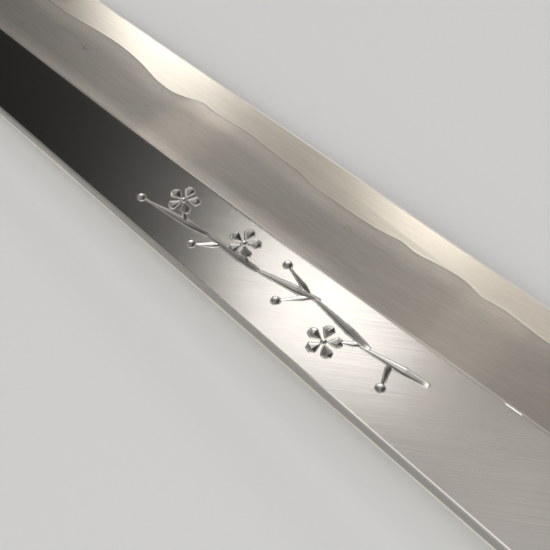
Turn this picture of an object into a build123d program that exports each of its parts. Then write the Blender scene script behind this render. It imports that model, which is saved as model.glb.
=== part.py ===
from build123d import *
from math import atan2, degrees
import os

# A right-handed yanagiba, a long single-bevel slicing knife, with its back face level.
# Sizes are in millimetres. +X runs from the handle to the tip, +Y from the cutting edge to
# the spine, and +Z out of the bevelled front. The origin is under the middle of the knife.

# Blade
blade_length = 270.0
heel_height = 34.0
spine_thickness = 4.0
shinogi_thickness = 3.7
heel_bevel_width = 17.8
spine_rise = 8.5
spine_chamfer = 0.35
tip_drop = 3.0
tip_width = 0.8
edge_bevel_width = 0.4
edge_bevel_rise = 0.15

# How the blade changes from heel to tip, as shares of the sizes above
edge_rise_share = 0.22
thickness_taper_share = 0.48
bevel_growth_share = 0.54
bevel_narrowing_share = 0.845
belly_start_share = 0.55
belly_power = 3.2

# Neck and tang
neck_length = 15.0
neck_height = 11.5
neck_fore_height = 13.4
machi_setback = 5.0
machi_radius = 1.6
heel_radius = 6.5
tang_length = 96.0
tang_end_height = 5.5
tang_end_thickness = 2.2

# Hard steel layer, scarfed out to nothing under the neck
steel_setback = 3.5
scarf_length = 12.0
scarf_drop = 0.5

# Shallow hollow ground into the back, inside a flat rim
hollow_depth = 0.35
hollow_start = 7.0
hollow_end = 9.0
spine_rim = 1.6
edge_rim = 1.0
hollow_roundness = 16

# The weld line between the two steels waves along the bevel. Each pair is a place along the
# blade from heel to tip, and the line's distance from the edge, as a share of the bevel's width
weld_line_shares = [
    (0.050, 0.305),
    (0.077, 0.305),
    (0.091, 0.292),
    (0.100, 0.283),
    (0.111, 0.300),
    (0.116, 0.304),
    (0.120, 0.288),
    (0.125, 0.270),
    (0.140, 0.279),
    (0.150, 0.302),
    (0.160, 0.318),
    (0.165, 0.308),
    (0.170, 0.310),
    (0.182, 0.342),
    (0.192, 0.354),
    (0.222, 0.362),
    (0.232, 0.356),
    (0.243, 0.324),
    (0.258, 0.316),
    (0.268, 0.307),
    (0.289, 0.291),
    (0.307, 0.313),
    (0.314, 0.319),
    (0.321, 0.307),
    (0.326, 0.304),
    (0.332, 0.335),
    (0.338, 0.372),
    (0.345, 0.403),
    (0.355, 0.410),
    (0.363, 0.400),
    (0.371, 0.374),
    (0.385, 0.335),
    (0.415, 0.315),
    (0.465, 0.370),
    (0.520, 0.290),
    (0.580, 0.340),
    (0.640, 0.275),
    (0.710, 0.330),
    (0.780, 0.270),
    (0.850, 0.320),
    (0.920, 0.275),
    (1.000, 0.300),
]

# Plum branch chiselled into the flat: V-shaped cuts for stems, twigs and petals, and small
# round punch marks for buds and the hearts of the blossoms
branch_length = 52.0
branch_height = 8.8
branch_to_heel = 28.0
branch_to_spine = 7.2
stem_width = 1.1
stem_depth = 0.32
twig_width = 0.7
twig_depth = 0.22
petal_length = 1.95
petal_width = 1.55
petal_depth = 0.3
petal_reach = 2.5
petal_count = 5
heart_diameter = 0.7
heart_depth = 0.12
bud_diameter = 1.2
bud_depth = 0.22
cut_deepest_share = 0.3
cut_blunt_share = 0.5
cut_stand_share = 0.5

# Places on the branch, as shares of its length from the heel end and of its height from its
# middle line: the blunt and the pointed end of each cut, and the centres of blossoms and buds
stem_end_shares = [
    ((0.00, -0.32), (0.22, -0.09)),
    ((0.175, -0.17), (0.415, -0.26)),
    ((0.365, -0.27), (0.60, 0.08)),
    ((0.55, 0.01), (0.79, 0.11)),
    ((0.74, 0.08), (0.97, 0.33)),
]
twig_end_shares = [
    ((0.11, -0.23), (0.085, 0.16)),
    ((0.20, -0.12), (0.245, 0.06)),
    ((0.385, -0.24), (0.445, 0.17)),
    ((0.40, -0.26), (0.495, -0.40)),
    ((0.585, 0.05), (0.615, -0.06)),
    ((0.69, 0.09), (0.745, 0.37)),
    ((0.82, 0.17), (0.855, 0.04)),
]
blossom_shares = [(0.275, 0.22), (0.645, -0.22), (0.882, -0.13)]
bud_shares = [(0.084, 0.215), (0.451, 0.213), (0.504, -0.414), (0.752, 0.407), (0.98, 0.34)]

# Octagonal handle
handle_length = 145.0
butt_height = 25.5
butt_thickness = 21.5
butt_corner = 5.2
front_height = 22.5
facet_fillet = 0.4
butt_chamfer = 1.4

# Horn ferrule, pressed on the handle's tapered peg
ferrule_length = 28.0
ferrule_chamfer = 0.7
peg_front_diameter = 14.8
peg_rear_diameter = 16.4

# Resin that seals the mouth of the tang's hole
seal_depth = 3.0
seal_height = 13.2
seal_thickness = 5.6
seal_corner = 1.0
tang_end_relief = 4.0

overrun = 2.0

# Places along, across and above
tip_x = (handle_length + neck_length + blade_length) / 2
heel_x = tip_x - blade_length
ferrule_x = heel_x - neck_length
collar_x = ferrule_x - ferrule_length
butt_x = ferrule_x - handle_length
machi_x = ferrule_x + machi_setback
tang_end_x = ferrule_x - tang_length
tang_y = (heel_height - spine_rise - butt_height / 2) / 2
spine_y = tang_y + spine_rise
handle_z = butt_thickness / 2
back_z = handle_z - spine_thickness / 2
neck_share = -neck_length / blade_length
flat_fall = (spine_thickness - shinogi_thickness) / (heel_height - heel_bevel_width)


def station_x(share):
    """Place along the knife of a share of the blade's length from the heel."""
    return heel_x + share * blade_length


def belly(share):
    """How far a place is into the blade's curved fore part, where the tip is 1."""
    return max(0.0, (share - belly_start_share) / (1 - belly_start_share))


def spine_at(share):
    return spine_y - tip_drop * belly(share) ** 2


def edge_at(share):
    straight = spine_y - heel_height * (1 - edge_rise_share * share)
    tip_rise = heel_height * (1 - edge_rise_share) - tip_drop - tip_width
    return straight + tip_rise * belly(share) ** belly_power


def flat_z(share, y):
    """Height of the flat front face, which falls towards the tip and towards the edge."""
    thickness = spine_thickness * (1 - thickness_taper_share * share)
    return back_z + thickness - flat_fall * (spine_y - y)


def bevel_width_at(share):
    return heel_bevel_width * (1 + bevel_growth_share * share - bevel_narrowing_share * share**2)


def bevel_z(share, y):
    """Height of the main bevel, which rises from the small cutting bevel to the shinogi."""
    start = edge_at(share) + edge_bevel_width
    shinogi = edge_at(share) + bevel_width_at(share)
    rise = flat_z(share, shinogi) - back_z - edge_bevel_rise
    return back_z + edge_bevel_rise + rise * (y - start) / (shinogi - start)


def spine_top_z(share):
    """Height of the spine's front corner: the bevel reaches the spine just behind the tip."""
    return min(flat_z(share, spine_at(share)), bevel_z(share, spine_at(share)))


# Everything under the two bevels, lofted from cross-sections
bevel_shares = [-0.1, 0.0, 0.1, 0.2, 0.3, 0.4, 0.5, 0.55, 0.6, 0.65, 0.7, 0.75, 0.8, 0.84, 0.88]
bevel_shares += [0.91, 0.94, 0.965, 0.985, 1.0, 1.01]
with BuildPart() as under_bevels:
    for share in bevel_shares:
        edge = edge_at(share)
        far_y = spine_y + overrun
        with BuildSketch(Plane.YZ.offset(station_x(share))):
            with BuildLine():
                Polyline(
                    (edge - edge_bevel_width, back_z - edge_bevel_rise),
                    (edge + edge_bevel_width, back_z + edge_bevel_rise),
                    (far_y, bevel_z(share, far_y)),
                    (far_y, back_z - edge_bevel_rise),
                    close=True,
                )
            make_face()
    loft()

# Everything under the plane of the flat
fall_to_tip = spine_thickness * thickness_taper_share / blade_length
flat_plane = Plane(
    origin=(heel_x, spine_y, back_z + spine_thickness),
    x_dir=(1, 0, -fall_to_tip),
    z_dir=(fall_to_tip, -flat_fall, 1),
)
with BuildPart() as under_flat:
    with BuildSketch(flat_plane):
        Rectangle(3 * blade_length, 3 * heel_height)
    extrude(amount=-(spine_thickness + overrun))


def spine_corner(share, height, side):
    """Triangle that cuts the spine's corner at a height: side is 1 for the front, -1 for the back."""
    reach = overrun + spine_chamfer * (spine_top_z(share) - back_z) / spine_thickness
    return [
        (spine_at(share) + overrun, height - side * reach),
        (spine_at(share) + overrun, height + side * overrun),
        (spine_at(share) - reach, height + side * overrun),
    ]


# Slivers that ease the spine's two long corners, running out to nothing at the tip
with BuildPart() as front_easing:
    for share in bevel_shares:
        with BuildSketch(Plane.YZ.offset(station_x(share))):
            with BuildLine():
                Polyline(*spine_corner(share, spine_top_z(share), 1), close=True)
            make_face()
    loft()
with BuildPart() as back_easing:
    for share in bevel_shares:
        with BuildSketch(Plane.YZ.offset(station_x(share))):
            with BuildLine():
                Polyline(*spine_corner(share, back_z, -1), close=True)
            make_face()
    loft()

# Blade blank: the outline of spine, neck and heel, cut down to the flat and the bevels
neck_high = tang_y + neck_height / 2
neck_low = tang_y - neck_height / 2
heel_low = tang_y - neck_fore_height / 2
below_edge = edge_at(0) - overrun
belly_x = station_x(belly_start_share)
with BuildPart() as blade_blank:
    with BuildSketch(Plane.XY.offset(back_z)):
        with BuildLine():
            Bezier((belly_x, spine_y), ((belly_x + tip_x) / 2, spine_y), (tip_x, spine_at(1)))
            Polyline(
                (tip_x, spine_at(1)),
                (tip_x, below_edge),
                (heel_x, below_edge),
                (heel_x, heel_low),
                (ferrule_x, neck_low),
                (ferrule_x, neck_high),
                (machi_x, neck_high),
                (machi_x, spine_y),
                (belly_x, spine_y),
            )
        outline = make_face()
        corners = outline.vertices()
        heel_corner = corners.sort_by_distance((heel_x, heel_low))[0]
        machi_corner = corners.sort_by_distance((machi_x, neck_high))[0]
        fillet(heel_corner, heel_radius)
        fillet(machi_corner, machi_radius)
    extrude(amount=spine_thickness + overrun)
    add(under_flat.part, mode=Mode.INTERSECT)
    add(under_bevels.part, mode=Mode.INTERSECT)
    add(front_easing.part, mode=Mode.SUBTRACT)
    add(back_easing.part, mode=Mode.SUBTRACT)

# Tang: continues the neck and tapers to a small end inside the handle
with BuildPart() as tang:
    with BuildSketch(Plane.YZ.offset(ferrule_x)):
        with BuildLine():
            Polyline(
                (neck_low, back_z),
                (neck_high, back_z),
                (neck_high, flat_z(neck_share, neck_high)),
                (neck_low, flat_z(neck_share, neck_low)),
                close=True,
            )
        make_face()
    with BuildSketch(Plane.YZ.offset(tang_end_x)):
        with Locations((tang_y, handle_z)):
            Rectangle(tang_end_height, tang_end_thickness)
    loft()

# Everything under the wavy weld between the two steels
steel_x = ferrule_x + steel_setback


def weld_z(share, weld_share):
    y = edge_at(share) + weld_share * bevel_width_at(share)
    return bevel_z(share, y)


first_share, first_weld_share = weld_line_shares[0]
weld_points = [(steel_x, back_z - scarf_drop)]
weld_points += [(steel_x + scarf_length, weld_z(first_share, first_weld_share))]
weld_points += [(station_x(share), weld_z(share, weld_share)) for share, weld_share in weld_line_shares]
with BuildPart() as under_weld:
    with BuildSketch(Plane.XZ):
        with BuildLine():
            weld_curve = Spline(*weld_points)
            Polyline(
                weld_curve @ 1,
                (tip_x + overrun, weld_points[-1][1]),
                (tip_x + overrun, back_z - overrun),
                (steel_x, back_z - overrun),
                weld_curve @ 0,
            )
        make_face()
    extrude(amount=2 * heel_height, both=True)

# Hollow of the back, lofted from thin arcs that shrink to nothing at both ends
hollow_x = heel_x + hollow_start
hollow_length = blade_length - hollow_start - hollow_end
hollow_shares = [0.001, 0.004, 0.012, 0.03, 0.06, 0.12, 0.22, 0.34, 0.46, 0.56, 0.65, 0.73]
hollow_shares += [0.8, 0.86, 0.91, 0.95, 0.975, 0.989, 0.996, 0.999]
with BuildPart() as hollow:
    for hollow_share in hollow_shares:
        x = hollow_x + hollow_share * hollow_length
        share = (x - heel_x) / blade_length
        swell = (1 - abs(2 * hollow_share - 1) ** hollow_roundness) ** 0.5
        high = spine_at(share) - spine_rim
        low = edge_at(share) + edge_rim
        middle = (high + low) / 2
        half = swell * (high - low) / 2
        depth = hollow_depth * swell * (high - low) / heel_height
        with BuildSketch(Plane.YZ.offset(x)):
            with BuildLine():
                ThreePointArc((middle - half, back_z), (middle, back_z + depth), (middle + half, back_z))
                Polyline(
                    (middle + half, back_z),
                    (middle + half, back_z - overrun),
                    (middle - half, back_z - overrun),
                    (middle - half, back_z),
                )
            make_face()
    loft()


def branch_spot(place):
    """X and Y on the flat of a place on the branch."""
    along, across = place
    return Vector(branch_to_heel + along * branch_length, across * branch_height - branch_to_spine)


def on_flat(spot, turn=0.0):
    """Location of a spot on the flat, turned by degrees from the tip's direction."""
    return flat_plane.location * Location(spot, (0, 0, turn))


def wedge_corners(length, width, depth):
    """Corners of a wedge that leaves a V-shaped cut, blunt at its start and pointed at its end."""
    deepest = cut_deepest_share * length
    blunt = cut_blunt_share * width / 2
    outline = [(0, -blunt), (deepest, -width / 2), (length, 0), (deepest, width / 2), (0, blunt)]
    stand = cut_stand_share * depth
    spread = 1 + cut_stand_share
    rim = [(deepest + spread * (x - deepest), spread * y, stand) for x, y in outline]
    return rim + [(deepest, 0, -depth)]


def dimple_radius(diameter, depth):
    """Radius of the ball that leaves a dimple of this size."""
    return (diameter**2 / 4 + depth**2) / (2 * depth)


# Each cut runs from its blunt end to its pointed end, and each punch mark has its centre
branch_cuts = [(*map(branch_spot, ends), stem_width, stem_depth) for ends in stem_end_shares]
branch_cuts += [(*map(branch_spot, ends), twig_width, twig_depth) for ends in twig_end_shares]
branch_dimples = [(branch_spot(place), bud_diameter, bud_depth) for place in bud_shares]
for place in blossom_shares:
    heart = branch_spot(place)
    branch_dimples += [(heart, heart_diameter, heart_depth)]
    for petal in range(petal_count):
        outward = Vector(1, 0).rotate(Axis.Z, petal * 360 / petal_count)
        rim_end = heart + outward * petal_reach
        branch_cuts += [(rim_end, rim_end - outward * petal_length, petal_width, petal_depth)]

# Soft iron of the blade, in one piece with the tang, and the branch cut into its flat
with BuildPart() as blade_iron:
    add(blade_blank.part)
    add(under_weld.part, mode=Mode.SUBTRACT)
    for start, finish, width, depth in branch_cuts:
        run = finish - start
        with Locations(on_flat(start, degrees(atan2(run.Y, run.X)))):
            ConvexPolyhedron(wedge_corners(run.length, width, depth), mode=Mode.SUBTRACT)
    for spot, diameter, depth in branch_dimples:
        radius = dimple_radius(diameter, depth)
        with Locations(on_flat(spot + Vector(0, 0, radius - depth))):
            Sphere(radius, mode=Mode.SUBTRACT)
    add(tang.part)

# Hard steel: the whole back face and the cutting edge
with BuildPart() as edge_steel:
    add(blade_blank.part)
    add(under_weld.part, mode=Mode.INTERSECT)
    add(hollow.part, mode=Mode.SUBTRACT)

# Whole grip: an octagon that narrows from the butt to the blade's end
grip_taper = degrees(atan2(butt_height - front_height, 2 * handle_length))
with BuildPart() as grip:
    with BuildSketch(Plane.YZ.offset(butt_x)):
        with Locations((tang_y, handle_z)):
            stock = Rectangle(butt_height, butt_thickness)
        chamfer(stock.vertices(), butt_corner)
    extrude(amount=handle_length)
    draft(grip.faces().filter_by(Axis.X, reverse=True), Plane.YZ.offset(butt_x), grip_taper)
    chamfer(grip.faces().sort_by(Axis.X)[0].edges(), butt_chamfer)
    chamfer(grip.faces().sort_by(Axis.X)[-1].edges(), ferrule_chamfer)
    fillet(grip.edges().filter_by(lambda edge: edge.length > handle_length / 2), facet_fillet)

# Tapered round peg at the front of the handle
with BuildPart() as peg:
    for x, diameter in [(ferrule_x, peg_front_diameter), (collar_x, peg_rear_diameter)]:
        with BuildSketch(Plane.YZ.offset(x)):
            with Locations((tang_y, handle_z)):
                Circle(diameter / 2)
    loft()

# Mouth of the tang's hole, which the resin fills
with BuildPart() as seal_pocket:
    with BuildSketch(Plane.YZ.offset(ferrule_x)):
        with Locations((tang_y, handle_z)):
            RectangleRounded(seal_height, seal_thickness, seal_corner)
    extrude(amount=-seal_depth)

# Handle of magnolia wood, with the hole that the tang is burnt into
collar_plane = Plane.YZ.offset(collar_x)
with BuildPart() as wood_handle:
    add(grip.part)
    split(bisect_by=collar_plane, keep=Keep.BOTTOM)
    add(peg.part)
    with BuildSketch(Plane.YZ.offset(tang_end_x)):
        with Locations((tang_y, handle_z)):
            Rectangle(tang_end_height, tang_end_thickness)
    extrude(amount=-tang_end_relief, mode=Mode.SUBTRACT)
    add(tang.part, mode=Mode.SUBTRACT)
    add(seal_pocket.part, mode=Mode.SUBTRACT)

# Ferrule of black buffalo horn
with BuildPart() as horn_ferrule:
    add(grip.part)
    split(bisect_by=collar_plane, keep=Keep.TOP)
    add(peg.part, mode=Mode.SUBTRACT)

# Resin seal round the tang
with BuildPart() as tang_seal:
    add(seal_pocket.part)
    add(tang.part, mode=Mode.SUBTRACT)

os.makedirs("parts", exist_ok=True)
blade_iron.part.label = "blade_iron"
export_step(blade_iron.part, "parts/blade_iron.step")
edge_steel.part.label = "edge_steel"
export_step(edge_steel.part, "parts/edge_steel.step")
wood_handle.part.label = "wood_handle"
export_step(wood_handle.part, "parts/wood_handle.step")
horn_ferrule.part.label = "horn_ferrule"
export_step(horn_ferrule.part, "parts/horn_ferrule.step")
tang_seal.part.label = "tang_seal"
export_step(tang_seal.part, "parts/tang_seal.step")
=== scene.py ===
from math import cos, pi, radians, sin, tan

import bmesh
import bpy
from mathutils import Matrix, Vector, noise as chatter


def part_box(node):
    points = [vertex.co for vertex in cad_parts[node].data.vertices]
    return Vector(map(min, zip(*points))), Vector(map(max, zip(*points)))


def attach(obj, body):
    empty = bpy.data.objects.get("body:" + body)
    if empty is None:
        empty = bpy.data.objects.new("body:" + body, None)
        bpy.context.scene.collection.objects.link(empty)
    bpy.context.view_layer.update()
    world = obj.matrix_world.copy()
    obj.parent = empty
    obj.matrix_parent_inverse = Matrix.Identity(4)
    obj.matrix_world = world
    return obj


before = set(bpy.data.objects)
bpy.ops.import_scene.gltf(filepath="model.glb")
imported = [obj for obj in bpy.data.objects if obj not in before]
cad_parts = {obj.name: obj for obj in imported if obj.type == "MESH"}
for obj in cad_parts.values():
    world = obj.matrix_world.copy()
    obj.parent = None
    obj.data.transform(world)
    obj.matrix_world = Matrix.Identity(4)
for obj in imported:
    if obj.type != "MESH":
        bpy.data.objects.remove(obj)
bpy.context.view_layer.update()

mm = 0.001
scene = bpy.context.scene
scene.view_settings.view_transform = "Standard"


class Wire:  # wraps a socket, so that shader maths reads as plain Python
    def __init__(self, tree, node=None, out=0):
        self.tree, self.node = tree, node
        self.socket = node.outputs[out] if node else None

    def out(self, name):  # another output of the same node
        return Wire(self.tree, self.node, name)

    def make(self, kind, settings=None, sockets=None, out=0):
        node = self.tree.nodes.new("ShaderNode" + kind)
        for name, value in (settings or {}).items():
            if name == "stops":
                for spare in list(node.color_ramp.elements)[1:]:
                    node.color_ramp.elements.remove(spare)
                for index, (place, colour) in enumerate(value):
                    stop = node.color_ramp.elements[0] if index == 0 else node.color_ramp.elements.new(place)
                    stop.position, stop.color = place, (*colour, 1)
            elif name == "points":
                curve = node.mapping.curves[0]
                for end, place in zip(curve.points, (value[0], value[-1])):
                    end.location = place
                for place in value[1:-1]:
                    curve.points.new(*place)
                node.mapping.update()
            else:
                setattr(node, name, value)
        for name, value in (sockets or {}).items():
            feed(self.tree, node.inputs[name], value)
        return Wire(self.tree, node, out)

    def maths(self, operation, *values):
        return self.make("Math", {"operation": operation}, dict(enumerate(values)))

    def __add__(self, other):
        return self.maths("ADD", self, other)

    def __sub__(self, other):
        return self.maths("SUBTRACT", self, other)

    def __rsub__(self, other):
        return self.maths("SUBTRACT", other, self)

    def __mul__(self, other):
        return self.maths("MULTIPLY", self, other)

    def __truediv__(self, other):
        return self.maths("DIVIDE", self, other)

    def __rtruediv__(self, other):
        return self.maths("DIVIDE", other, self)

    def __pow__(self, other):
        return self.maths("POWER", self, other)

    __radd__ = __add__
    __rmul__ = __mul__


def feed(tree, socket, value):  # a link or a plain value
    if isinstance(value, Wire):
        tree.links.new(value.socket, socket)
    else:
        socket.default_value = value


def ease(value, low, high):  # 0 below low, 1 above high, smooth between
    limits = {"Value": value, "From Min": low, "From Max": high}
    return value.make("MapRange", {"interpolation_type": "SMOOTHSTEP"}, limits)


def blend(mask, first, second):  # colours: first where the mask is 0
    sockets = {"Factor": mask, 6: (*first, 1) if isinstance(first, tuple) else first}
    sockets[7] = (*second, 1) if isinstance(second, tuple) else second
    return mask.make("Mix", {"data_type": "RGBA"}, sockets, out=2)


def bump(height, depth, strength=1.0, under=None):  # depth in metres for a height of 1
    sockets = {"Height": height, "Distance": depth, "Strength": strength}
    if under:
        sockets["Normal"] = under
    return height.make("Bump", None, sockets)


def noise(place, scale, detail=2.0, roughness=0.5, offset=0.0):  # scale is turns per mm, for each axis
    moved = place.make("VectorMath", {"operation": "MULTIPLY_ADD"}, {0: place, 1: scale, 2: (offset,) * 3})
    sockets = {"Vector": moved, "Scale": 1.0, "Detail": detail, "Roughness": roughness}
    return moved.make("TexNoise", None, sockets)


def newMaterial(name, **plain):  # the keywords are sockets that are the same all over
    material = bpy.data.materials.new(name)
    material.use_nodes = True
    shader = material.node_tree.nodes["Principled BSDF"]
    for socket, value in plain.items():
        shader.inputs[socket].default_value = value
    return material, Wire(material.node_tree), shader


def finishShader(wire, shader, **changing):
    for name, value in changing.items():
        feed(wire.tree, shader.inputs[name.replace("_", " ")], value)


def dress(nodeName, material):  # a CAD node keeps its mesh and gets a better finish
    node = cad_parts[nodeName]
    for index in range(max(1, len(node.material_slots))):
        if not node.material_slots:
            node.data.materials.append(material)
        node.material_slots[index].material = material


def placeInMm(wire):
    place = wire.make("TexCoord", out="Object")
    return place.make("VectorMath", {"operation": "SCALE"}, {0: place, "Scale": 1 / mm})


# Places read from the frame, in mm
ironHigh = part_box("blade_iron")[1] / mm
steelLow, steelHigh = (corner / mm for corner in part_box("edge_steel"))

blade = {
    "length": 270.0,
    "heelHeight": 34.0,
    "spineThickness": 4.0,
    "taperShare": 0.48,
    "flatFall": 0.3 / 16.2,
    "bevelWidth": 17.8,
    "bevelGrowthShare": 0.54,
    "bevelNarrowingShare": 0.845,
    "edgeRiseShare": 0.22,
    "bellyStartShare": 0.55,
    "bellyPower": 3.2,
    "tipHeight": 0.8,
    "tipDrop": 3.0,
}


# The weld line on the bevel: shares of the blade's length, and of the bevel's width from the edge
weldLine = [
    (0.000, 0.305), (0.050, 0.305), (0.077, 0.305), (0.091, 0.292), (0.100, 0.283), (0.111, 0.300),
    (0.116, 0.304), (0.120, 0.288), (0.125, 0.270), (0.140, 0.279), (0.150, 0.302), (0.160, 0.318),
    (0.165, 0.308), (0.170, 0.310), (0.182, 0.342), (0.192, 0.354), (0.222, 0.362), (0.232, 0.356),
    (0.243, 0.324), (0.258, 0.316), (0.268, 0.307), (0.289, 0.291), (0.307, 0.313), (0.314, 0.319),
    (0.321, 0.307), (0.326, 0.304), (0.332, 0.335), (0.338, 0.372), (0.345, 0.403), (0.355, 0.410),
    (0.363, 0.400), (0.371, 0.374), (0.385, 0.335), (0.415, 0.315), (0.465, 0.370), (0.520, 0.290),
    (0.580, 0.340), (0.640, 0.275), (0.710, 0.330), (0.780, 0.270), (0.850, 0.320), (0.920, 0.275),
    (1.000, 0.300),
]


# Where the forms of the blade lie, in mm: each takes numbers or sockets
def shareAt(x):
    return (x - (steelHigh.x - blade["length"])) / blade["length"]


def straightEdge(share):
    return ironHigh.y - blade["heelHeight"] * (1 - blade["edgeRiseShare"] * share)


def bevelWidth(share):
    growth = blade["bevelGrowthShare"] * share - blade["bevelNarrowingShare"] * share * share
    return blade["bevelWidth"] * (1 + growth)


def flatHeight(x, y):
    thickness = blade["spineThickness"] * (1 - blade["taperShare"] * shareAt(x))
    return steelLow.z + thickness - blade["flatFall"] * (ironHigh.y - y)


def bladeGuides(wire):  # where a point lies on the blade, as the smith would measure it
    place = placeInMm(wire)
    parts = place.make("SeparateXYZ", None, {0: place}, out="X")
    x, y, z = parts, parts.out("Y"), parts.out("Z")
    share = shareAt(x)
    start = blade["bellyStartShare"]
    bellyShare = wire.maths("MAXIMUM", (share - start) / (1 - start), 0.0)
    tipRise = blade["heelHeight"] * (1 - blade["edgeRiseShare"]) - blade["tipDrop"] - blade["tipHeight"]
    fromEdge = y - straightEdge(share) - tipRise * bellyShare ** blade["bellyPower"]
    width = bevelWidth(share)
    weldShare = share.make("FloatCurve", {"points": weldLine}, {"Value": share})
    return {
        "place": place, "x": x, "y": y, "z": z, "share": share, "fromEdge": fromEdge,
        "pastRidge": fromEdge - width, "bevelShare": fromEdge / width,
        "aboveFlat": z - flatHeight(x, y), "pastWeld": fromEdge - weldShare * width,
        "pastSpine": y - ironHigh.y + blade["tipDrop"] * bellyShare * bellyShare,
    }


iron = {
    "flatColour": (0.65, 0.63, 0.60),
    "bevelWarm": (0.432, 0.387, 0.340),
    "bevelCool": (0.381, 0.366, 0.338),
    # The bevel's brightness along the blade, a curve of 12 points: partly haze on the iron and partly
    # painted light.
    "bevelHazeAndPaintedLight": [(0.0, 0.42), (0.081, 0.56), (0.104, 0.88), (0.125, 0.56), (0.169, 0.22), (0.190, 0.15),
                  (0.234, 0.18), (0.278, 0.28), (0.299, 0.66), (0.321, 0.92), (0.343, 0.32), (1.0, 0.30)],
    # The ridge colour is a painted highlight: a light line along the ridge and along the spine corner.
    "ridgeHighlightColour": (0.95, 0.92, 0.86),
    # The spine colour is painted shade: a darker spine face standing in for a dark reflection.
    "spineShadeColour": (0.40, 0.385, 0.36),
    "ridgeRounding": 0.5,
    "ridgeTurn": 10.5,
    # The nick on the ridge carries a painted glint: its colour is nearly white.
    "nickGlint": (-38.3, -35.6),
    "nickFacet": 0.9,
    "nickSlope": 0.155,
    "nickGlintColour": (1.0, 0.98, 0.94),
    "hairDepth": 0.22,
    "carved": (-30.0, 28.0),
    "cutColour": (0.34, 0.33, 0.31),
    # The lip colour is a painted highlight on the chisel's raised lips.
    "lipHighlightColour": (0.74, 0.72, 0.68),
    "scratchAngle": 35.0,
    "strokeBendX": 10.0,
    "strokeBend": 0.0019,
}


def strokesAlong(at):  # coordinates that follow the whetstone's strokes, which slant near the heel
    bend = at["x"].maths("MINIMUM", at["x"] - iron["strokeBendX"], 0.0)
    across = at["fromEdge"] + bend * bend * iron["strokeBend"]
    return at["x"].make("CombineXYZ", None, {0: at["x"], 1: across, 2: at["z"]})


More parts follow.
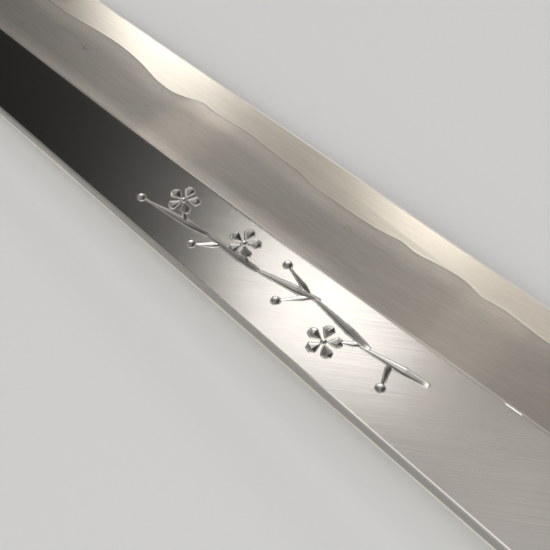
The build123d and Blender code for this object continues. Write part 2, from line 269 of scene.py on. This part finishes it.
def ironMaterial():
    material, wire, shader = newMaterial("softIron", Metallic=1.0)
    at = bladeGuides(wire)
    blur = 0.05 + 0.22 * (1 - ease(at["x"], -2.0, 10.0))
    onFlat = ease(at["pastRidge"] / blur, -1.0, 1.0)
    carvedLow, carvedHigh = iron["carved"]
    carved = ease(at["x"], carvedLow - 1, carvedLow) * (1 - ease(at["x"], carvedHigh, carvedHigh + 1))
    onSpine = ease(at["pastSpine"], -0.42, -0.34)
    cut = ease(0 - at["aboveFlat"], 0.02, 0.10) * onFlat * carved * (1 - onSpine)
    lip = ease(at["aboveFlat"], 0.006, 0.03) * onFlat
    along = strokesAlong(at)
    turned = wire.make("VectorRotate", {"rotation_type": "Z_AXIS"},
                       {"Vector": at["place"], "Angle": -radians(iron["scratchAngle"])})
    scratches = noise(turned, (0.04, 7.0, 0.0), 2.0, 0.6)
    fineScratches = noise(turned, (0.2, 12.0, 0.0), 2.0, 0.6, 40)
    stipple = noise(at["place"], (3.0, 3.0, 0.0), 1.0, 0.5, 110)
    haze = noise(turned, (0.12, 0.3, 0.0), 2.0, 0.5, 70)
    streaks = noise(along, (0.10, 1.9, 0.0), 3.0, 0.6)
    fineStreaks = noise(along, (0.3, 6.0, 0.0), 2.0, 0.6, 20)
    clouds = noise(along, (0.05, 0.22, 0.0), 3.0, 0.55, 60)
    patches = noise(at["place"], (0.09, 0.16, 0.0), 2.0, 0.6, 90)
    # Painted light, partly haze: this curve makes the bevel lighter and warmer along the blade.
    hazeAndPaintedLight = wire.make("FloatCurve", {"points": iron["bevelHazeAndPaintedLight"]}, {"Value": at["share"]})
    bevelTone = 0.57 + 0.30 * streaks + 0.36 * fineStreaks + 0.18 * clouds + 0.5 * hazeAndPaintedLight
    nearWeld = ease(at["pastWeld"], -0.2, 0.6) * (1 - ease(at["pastWeld"], 1.0, 4.5))
    nearWeld = nearWeld * (0.24 + 0.29 * hazeAndPaintedLight) * (0.4 + 0.6 * ease(at["x"], -24.0, -16.0))
    # Painted light: the bevel is lighter within 3.3 mm of the ridge, from about x = -16 mm towards the tip.
    paintedLightNearRidge = ease(at["pastRidge"], -3.3, 0.0) * ease(at["x"], -16.0, 2.0)
    paintedLightNearRidge = paintedLightNearRidge * (0.55 - 0.16 * ease(at["x"], 16.0, 24.0))
    bevelTone = bevelTone * (1 + nearWeld + paintedLightNearRidge)
    curls = noise(at["place"], (0.33, 0.33, 0.0), 1.0, 0.4, 130)
    hairs = 1 - ease(wire.maths("ABSOLUTE", curls - 0.5), 0.0, 0.012)
    sparse = ease(noise(at["place"], (0.22, 0.3, 0.0), 1.0, 0.5, 170), 0.60, 0.68)
    bevelTone = bevelTone * (1 - iron["hairDepth"] * hairs * sparse)
    flatTone = 0.86 + 0.14 * scratches + 0.10 * fineScratches + 0.05 * haze
    bevelHue = blend(patches + 0.8 * hazeAndPaintedLight - 0.3, iron["bevelCool"], iron["bevelWarm"])
    bevelPaint = bevelHue.make("VectorMath", {"operation": "SCALE"}, {0: bevelHue, "Scale": bevelTone})
    flatPaint = blend(flatTone - 0.5, (0, 0, 0), tuple(2 * c for c in iron["flatColour"]))
    # Painted highlight: a light line along the ridge, full towards the heel, stronger again between x = 0
    # and 36 mm (bright), and broken by the streaks.
    ridgeHighlight = ease(at["pastRidge"], -0.42, -0.25) * (1 - ease(at["pastRidge"], -0.12, 0.02))
    heelwardHighlight = 1 - ease(at["x"], -22.0, -12.0)
    bright = 0.2 + 0.55 * ease(at["x"], 0.0, 8.0) * (1 - ease(at["x"], 24.0, 36.0))
    paint = blend(onFlat, bevelPaint, flatPaint)
    paint = blend(ridgeHighlight * (heelwardHighlight + (1 - heelwardHighlight) * bright) * (0.2 + 0.8 * streaks), paint, iron["ridgeHighlightColour"])
    # Painted shade: the spine face is painted darker.
    paint = blend(onSpine, paint, iron["spineShadeColour"])
    # Painted highlight: a light line along the spine's corner towards the heel.
    onCorner = onSpine * ease(0 - at["pastSpine"], 0.15, 0.21) * ease(at["aboveFlat"], -0.6, -0.5)
    paint = blend(onCorner * heelwardHighlight, paint, iron["ridgeHighlightColour"])
    # The cuts are darker and rougher; the raised lips get a painted highlight in a lighter colour.
    paint = blend(lip, blend(cut, paint, iron["cutColour"]), iron["lipHighlightColour"])
    # Painted glint: the nick on the ridge is painted nearly white, with a low roughness and a facet bump.
    nickLow, nickHigh = iron["nickGlint"]
    nickGlint = ease(at["x"], nickLow, nickLow + 0.2) * (1 - ease(at["x"], nickHigh - 0.2, nickHigh))
    nickGlint = nickGlint * ease(at["pastRidge"], -0.10, -0.04) * (1 - ease(at["pastRidge"], 0.06, 0.12))
    paint = blend(nickGlint, paint, iron["nickGlintColour"])
    facets = wire.maths("FRACT", (at["x"] - nickLow) / iron["nickFacet"])
    nickHeight = 0 - iron["nickSlope"] * iron["nickFacet"] * facets
    flatHeights = 0.2 * scratches + 0.15 * fineScratches + 0.25 * stipple
    bevelHeights = 0.5 * streaks + 0.5 * fineStreaks
    grain = bump(onFlat * flatHeights + (1 - onFlat) * bevelHeights, 0.008 * mm)
    within = wire.maths("MAXIMUM", iron["ridgeRounding"] - wire.maths("ABSOLUTE", at["pastRidge"]), 0.0)
    rounding = -tan(radians(iron["ridgeTurn"])) / (4 * iron["ridgeRounding"]) * within * within
    rounding = rounding * (0.25 + 0.75 * ease(at["x"], -14.0, 2.0))
    rough = 0.46 - 0.22 * onFlat + 0.15 * cut + 0.10 * (onSpine - onCorner)
    finishShader(wire, shader, Base_Color=paint, Roughness=rough - nickGlint * (rough - 0.18),
                 Normal=bump(rounding + nickGlint * (nickHeight - rounding), mm, under=grain))
    return material


steel = {
    "colour": (0.87, 0.80, 0.69),
    "weldColour": (1.0, 0.95, 0.87),
    "edgeColour": (1.0, 0.96, 0.90),
}


def steelMaterial():
    material, wire, shader = newMaterial("hardSteel", Metallic=1.0)
    at = bladeGuides(wire)
    along = strokesAlong(at)
    lines = noise(along, (0.06, 2.6, 0.0), 3.0, 0.6)
    fineLines = noise(along, (0.2, 8.0, 0.0), 2.0, 0.6, 30)
    tone = 0.87 + 0.14 * lines + 0.12 * fineLines
    paint = blend(tone - 0.5, (0, 0, 0), tuple(2 * c for c in steel["colour"]))
    rim = 0.45 + 0.4 * (1 - ease(at["x"], -26.0, -20.0))
    paint = blend(ease(at["pastWeld"], -0.60, -0.10) * rim, paint, steel["weldColour"])
    honed = 1 - ease(at["fromEdge"], 0.3, 0.5)
    paint = blend(honed, paint, steel["edgeColour"])
    finishShader(wire, shader, Base_Color=paint, Roughness=0.26 + 0.06 * lines + 0.2 * honed,
                 Normal=bump(0.5 * lines + 0.5 * fineLines, 0.004 * mm))
    return material


wood = {
    "pale": (0.70, 0.56, 0.38),
    "dark": (0.52, 0.385, 0.235),
    "pore": (0.30, 0.20, 0.11),
    "heart": (-60.0, -34.0),
    "ringsPerMm": 0.42,
}


def woodMaterial():
    material, wire, shader = newMaterial("magnoliaWood")
    place = placeInMm(wire)
    wander = noise(place, (0.008, 0.05, 0.05), 2.0)
    parts = place.make("SeparateXYZ", None, {0: place}, out="X")
    y, z = parts.out("Y"), parts.out("Z")
    heartY, heartZ = wood["heart"]
    depth = (y - heartY + 6 * wander) ** 2 + (z - heartZ + 5 * wander) ** 2
    rings = wire.maths("FRACT", wire.maths("SQRT", depth) * wood["ringsPerMm"] + 0.9 * wander)
    late = ease(rings, 0.55, 0.97)
    fibres = noise(place, (0.03, 3.0, 3.0), 4.0, 0.7)
    pores = ease(noise(place, (0.18, 6.0, 6.0), 2.0, 0.5, 15), 0.60, 0.72)
    paint = blend(late * 0.45 + fibres * 0.35, wood["pale"], wood["dark"])
    paint = blend(pores * 0.35, paint, wood["pore"])
    finishShader(wire, shader, Base_Color=paint, Roughness=0.55 + 0.12 * fibres,
                 Normal=bump(fibres - 0.6 * pores, 0.03 * mm))
    return material


horn = {
    "dark": (0.012, 0.011, 0.0105),
    "streak": (0.075, 0.062, 0.05),
}


def hornMaterial():
    material, wire, shader = newMaterial("buffaloHorn")
    place = placeInMm(wire)
    bands = noise(place, (0.05, 0.35, 0.35), 4.0, 0.6)
    fine = noise(place, (0.15, 2.5, 2.5), 3.0, 0.6, 11)
    paint = blend(ease(bands, 0.52, 0.74) * (0.4 + 0.6 * fine), horn["dark"], horn["streak"])
    finishShader(wire, shader, Base_Color=paint, Roughness=0.22 + 0.14 * fine,
                 Normal=bump(fine, 0.006 * mm))
    return material


resin = {
    "dark": (0.035, 0.018, 0.008),
    "clear": (0.11, 0.055, 0.022),
}


def resinMaterial():
    material, wire, shader = newMaterial("sealingResin")
    place = placeInMm(wire)
    swirl = noise(place, (0.3, 0.3, 0.3), 3.0)
    finishShader(wire, shader, Base_Color=blend(swirl, resin["dark"], resin["clear"]),
                 Roughness=0.24 + 0.12 * swirl, Normal=bump(swirl, 0.08 * mm))
    return material


softIron = ironMaterial()
dress("blade_iron", softIron)
dress("edge_steel", steelMaterial())
dress("wood_handle", woodMaterial())
dress("horn_ferrule", hornMaterial())
dress("tang_seal", resinMaterial())
print("five pieces finished")

# Iron that the chisel pushed up beside its cuts: a low rounded lip round every rim
lips = {
    "margin": 0.5,
    "stride": 0.35,
    "shortest": 1.0,
    "section": [(0.025, 0.030), (0.07, 0.048), (0.12, 0.030), (0.20, -0.004), (0.10, -0.03), (0.0, 0.0)],
    "unevenness": 0.55,
    "lumps": 0.9,
}


def findRims(shape, up):  # edges where a cut meets the flat, each with the way out over the flat
    low, high = iron["carved"]

    def isFlat(face):
        level = all(abs(v.co.z / mm - flatHeight(v.co.x / mm, v.co.y / mm)) < 0.004 for v in face.verts)
        return level and face.normal.dot(up) > 0.9999

    def inZone(v):
        x, y, z = v.co / mm
        ridge = straightEdge(shareAt(x)) + bevelWidth(shareAt(x))
        return low < x < high and ridge + lips["margin"] < y < ironHigh.y - lips["margin"]

    flats = {face for face in shape.faces if isFlat(face)}
    rims = {}
    for edge in shape.edges:
        level = [face for face in edge.link_faces if face in flats]
        if len(level) == 1 and all(inZone(v) for v in edge.verts):
            start, end = (v.co for v in edge.verts)
            outward = up.cross(end - start).normalized()
            inside = sum((v.co for v in level[0].verts), Vector()) / 3 - start
            rims[edge] = outward if outward.dot(inside) > 0 else -outward
    return rims


def dropScraps(shape):  # loops too small to raise a lip, and open ends
    waiting = set(shape.edges)
    scraps = []
    while waiting:
        chain = [waiting.pop()]
        for edge in chain:
            beside = {other for v in edge.verts for other in v.link_edges} & waiting
            waiting -= beside
            chain += beside
        isOpen = any(len(v.link_edges) != 2 for edge in chain for v in edge.verts)
        if isOpen or sum(edge.calc_length() for edge in chain) < lips["shortest"] * mm:
            scraps += chain
    bmesh.ops.delete(shape, geom=list({v for edge in scraps for v in edge.verts}), context="VERTS")


def raiseLips(finish):
    up = Vector((blade["spineThickness"] * blade["taperShare"] / blade["length"], -blade["flatFall"], 1))
    up.normalize()
    shape = bmesh.new()
    shape.from_mesh(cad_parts["blade_iron"].data)
    bmesh.ops.remove_doubles(shape, verts=shape.verts, dist=1e-7)
    outwardLayer = shape.verts.layers.float_vector.new("outward")
    rimLayer = shape.verts.layers.float_vector.new("rim")
    rims = findRims(shape, up)
    bmesh.ops.delete(shape, geom=list(shape.faces), context="FACES_ONLY")
    bmesh.ops.delete(shape, geom=[edge for edge in shape.edges if edge not in rims], context="EDGES")
    bmesh.ops.delete(shape, geom=[v for v in shape.verts if not v.link_edges], context="VERTS")
    dropScraps(shape)
    for v in shape.verts:
        v[outwardLayer] = sum((rims[edge] for edge in v.link_edges), Vector()).normalized()
    for edge in list(shape.edges):
        parts = int(edge.calc_length() / mm / lips["stride"])
        if parts:
            outward = rims[edge]
            added = bmesh.ops.subdivide_edges(shape, edges=[edge], cuts=parts)["geom_inner"]
            for v in (item for item in added if isinstance(item, bmesh.types.BMVert)):
                v[outwardLayer] = outward
    for v in shape.verts:
        v[rimLayer] = v.co
    ring = list(shape.edges)
    for across, rise in lips["section"]:
        grown = bmesh.ops.extrude_edge_only(shape, edges=ring)["geom"]
        ring = [item for item in grown if isinstance(item, bmesh.types.BMEdge)]
        for v in (item for item in grown if isinstance(item, bmesh.types.BMVert)):
            lump = 1 + lips["unevenness"] * chatter.noise(v[rimLayer] / mm * lips["lumps"])
            v.co = v[rimLayer] + (v[outwardLayer] * across + up * rise) * lump * mm
    bmesh.ops.remove_doubles(shape, verts=shape.verts, dist=1e-6)
    bmesh.ops.recalc_face_normals(shape, faces=shape.faces)
    for face in shape.faces:
        face.smooth = True
    mesh = bpy.data.meshes.new("carvingLips")
    shape.to_mesh(mesh)
    shape.free()
    piece = bpy.data.objects.new("carving_lips", mesh)
    scene.collection.objects.link(piece)
    mesh.materials.append(finish)
    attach(piece, "root")
    print("lips raised round the carving:", len(mesh.polygons), "faces")


raiseLips(softIron)

# The floor slopes to touch the knife where it rests: at the ferrule's lower edge and at the tip
floor = {
    "radius": 30.0,
    "colour": (0.80, 0.795, 0.785),
    "farColour": (0.62, 0.615, 0.605),
    "fade": (0.30, 0.90),
    "nearRest": (-70.7, 1.49),
    "tipRest": (215.0, 8.75),
}


def makeFloor():
    (nearX, nearZ), (tipX, tipZ) = floor["nearRest"], floor["tipRest"]
    slope = (tipZ - nearZ) / (tipX - nearX)
    disc = bmesh.new()
    bmesh.ops.create_circle(disc, cap_ends=True, segments=96, radius=floor["radius"])
    for v in disc.verts:
        v.co.z = nearZ * mm + (v.co.x - nearX * mm) * slope
    mesh = bpy.data.meshes.new("floor")
    disc.to_mesh(mesh)
    disc.free()
    sheet = bpy.data.objects.new("floor", mesh)
    scene.collection.objects.link(sheet)
    material, wire, shader = newMaterial("paleFloor", Roughness=0.75)
    place = wire.make("TexCoord", out="Object")
    tooth = noise(place, (800, 800, 800), 2.0)
    paint = blend(tooth, tuple(0.985 * c for c in floor["colour"]), floor["colour"])
    finishShader(wire, shader, Base_Color=paint)
    away = place.make("VectorMath", {"operation": "LENGTH"}, {0: place}, out="Value")
    rays = wire.make("LightPath", out="Is Camera Ray")
    seen = wire.maths("MAXIMUM", rays, rays.out("Is Glossy Ray"))
    haze = wire.make("Emission", None, {"Color": (*floor["farColour"], 1)})
    sockets = {0: ease(away, *floor["fade"]) * seen, 1: Wire(wire.tree, shader), 2: haze}
    mixed = wire.make("MixShader", None, sockets)
    feed(wire.tree, wire.tree.nodes["Material Output"].inputs["Surface"], mixed)
    mesh.materials.append(material)


makeFloor()

camera = {
    "target": (0.0, 5.927, 10.75),
    "azimuth": 133.588,
    "elevation": 60.252,
    "distance": 102.927,
    "lens": 45.818,
    "nearest": 10.0,
}


def bearing(azimuth, elevation):  # unit vector, with the azimuth from +X towards +Y
    turn, rise = radians(azimuth), radians(elevation)
    return Vector((cos(turn) * cos(rise), sin(turn) * cos(rise), sin(rise)))


def makeCamera():
    lens = bpy.data.cameras.new("camera")
    lens.lens, lens.sensor_width = camera["lens"], 36.0
    lens.clip_start = camera["nearest"] * mm
    holder = bpy.data.objects.new("camera", lens)
    scene.collection.objects.link(holder)
    back = bearing(camera["azimuth"], camera["elevation"])
    holder.location = Vector(camera["target"]) * mm + back * camera["distance"] * mm
    holder.rotation_mode = "QUATERNION"
    holder.rotation_quaternion = (-back).to_track_quat("-Z", "Y")
    scene.camera = holder


makeCamera()

# Soft boxes: the bearing of each from the knife in degrees, its size in metres, its radiance and tint
boxes = {
    "keyBox": {"azimuth": -56.5, "elevation": 60.5, "away": 1.0, "size": (0.265, 0.26),
               "glow": 2.5, "tint": (1, 0.98, 0.95)},
    "keyFar": {"azimuth": -97, "elevation": 64, "away": 1.0, "size": (0.36, 0.30),
               "glow": 0.41, "tint": (1, 0.93, 0.86)},
    "keyNear": {"azimuth": -36, "elevation": 53, "away": 1.0, "size": (0.22, 0.20),
                "glow": 0.05, "tint": (1, 1, 1)},
    "lowNear": {"azimuth": -43, "elevation": 26, "away": 1.0, "size": (0.16, 0.13),
                "glow": 5.5, "tint": (1, 1, 1)},
    "lowFar": {"azimuth": -75, "elevation": 31.5, "away": 1.0, "size": (0.15, 0.15),
               "glow": 3.4, "tint": (1, 0.98, 0.95)},
    "lowEnd": {"azimuth": -95, "elevation": 37, "away": 1.0, "size": (0.30, 0.25),
               "glow": 0.45, "tint": (1, 0.97, 0.93)},
    "sideWall": {"azimuth": -76, "elevation": 27, "away": 1.0, "size": (1.0, 0.30),
                 "glow": 0.60, "tint": (1, 0.99, 0.97)},
    "cornerWall": {"azimuth": 68, "elevation": 17, "away": 1.0, "size": (0.5, 0.18),
                   "glow": 0.5, "tint": (1, 0.98, 0.94)},
    "backBox": {"azimuth": 140, "elevation": 50, "away": 1.4, "size": (1.2, 0.9),
                "glow": 2.6, "tint": (1, 1, 1)},
}


def makeBoxes():
    for name, box in boxes.items():
        lamp = bpy.data.lights.new(name, "AREA")
        lamp.shape, lamp.color = "RECTANGLE", box["tint"]
        lamp.size, lamp.size_y = box["size"]
        lamp.energy = box["glow"] * lamp.size * lamp.size_y * pi
        holder = bpy.data.objects.new(name, lamp)
        scene.collection.objects.link(holder)
        back = bearing(box["azimuth"], box["elevation"])
        holder.location = back * box["away"]
        holder.rotation_mode = "QUATERNION"
        holder.rotation_quaternion = (-back).to_track_quat("-Z", "Y")
        holder.visible_camera = False


makeBoxes()

room = {
    "backdrop": floor["farColour"],
    "brightAzimuth": 140.0,
    "brightElevation": 40.0,
    "bright": 0.7,
    "dim": 0.0,
    "horizonGlow": 0.45,
    "horizonTop": (0.19, 0.40),
}


def makeRoom():
    world = bpy.data.worlds.new("room")
    scene.world = world
    world.use_nodes = True
    wire = Wire(world.node_tree)
    direction = wire.make("TexCoord", out="Generated")
    towards = bearing(room["brightAzimuth"], room["brightElevation"])
    sockets = {0: direction, 1: towards}
    facing = direction.make("VectorMath", {"operation": "DOT_PRODUCT"}, sockets, out="Value")
    glow = room["dim"] + (room["bright"] - room["dim"]) * ease(facing, 0.15, 0.85)
    height = direction.make("SeparateXYZ", None, {0: direction}, out="Z")
    rays = wire.make("LightPath", out="Is Camera Ray")
    glow = glow + room["horizonGlow"] * (1 - ease(height, *room["horizonTop"])) * rays.out("Is Glossy Ray")
    background = world.node_tree.nodes["Background"]
    background.inputs["Color"].default_value = (1, 1, 1, 1)
    grey = wire.make("CombineColor", None, {0: glow, 1: glow, 2: glow})
    feed(world.node_tree, background.inputs["Color"], blend(rays, grey, room["backdrop"]))


makeRoom()
print("floor, lamps and camera set")
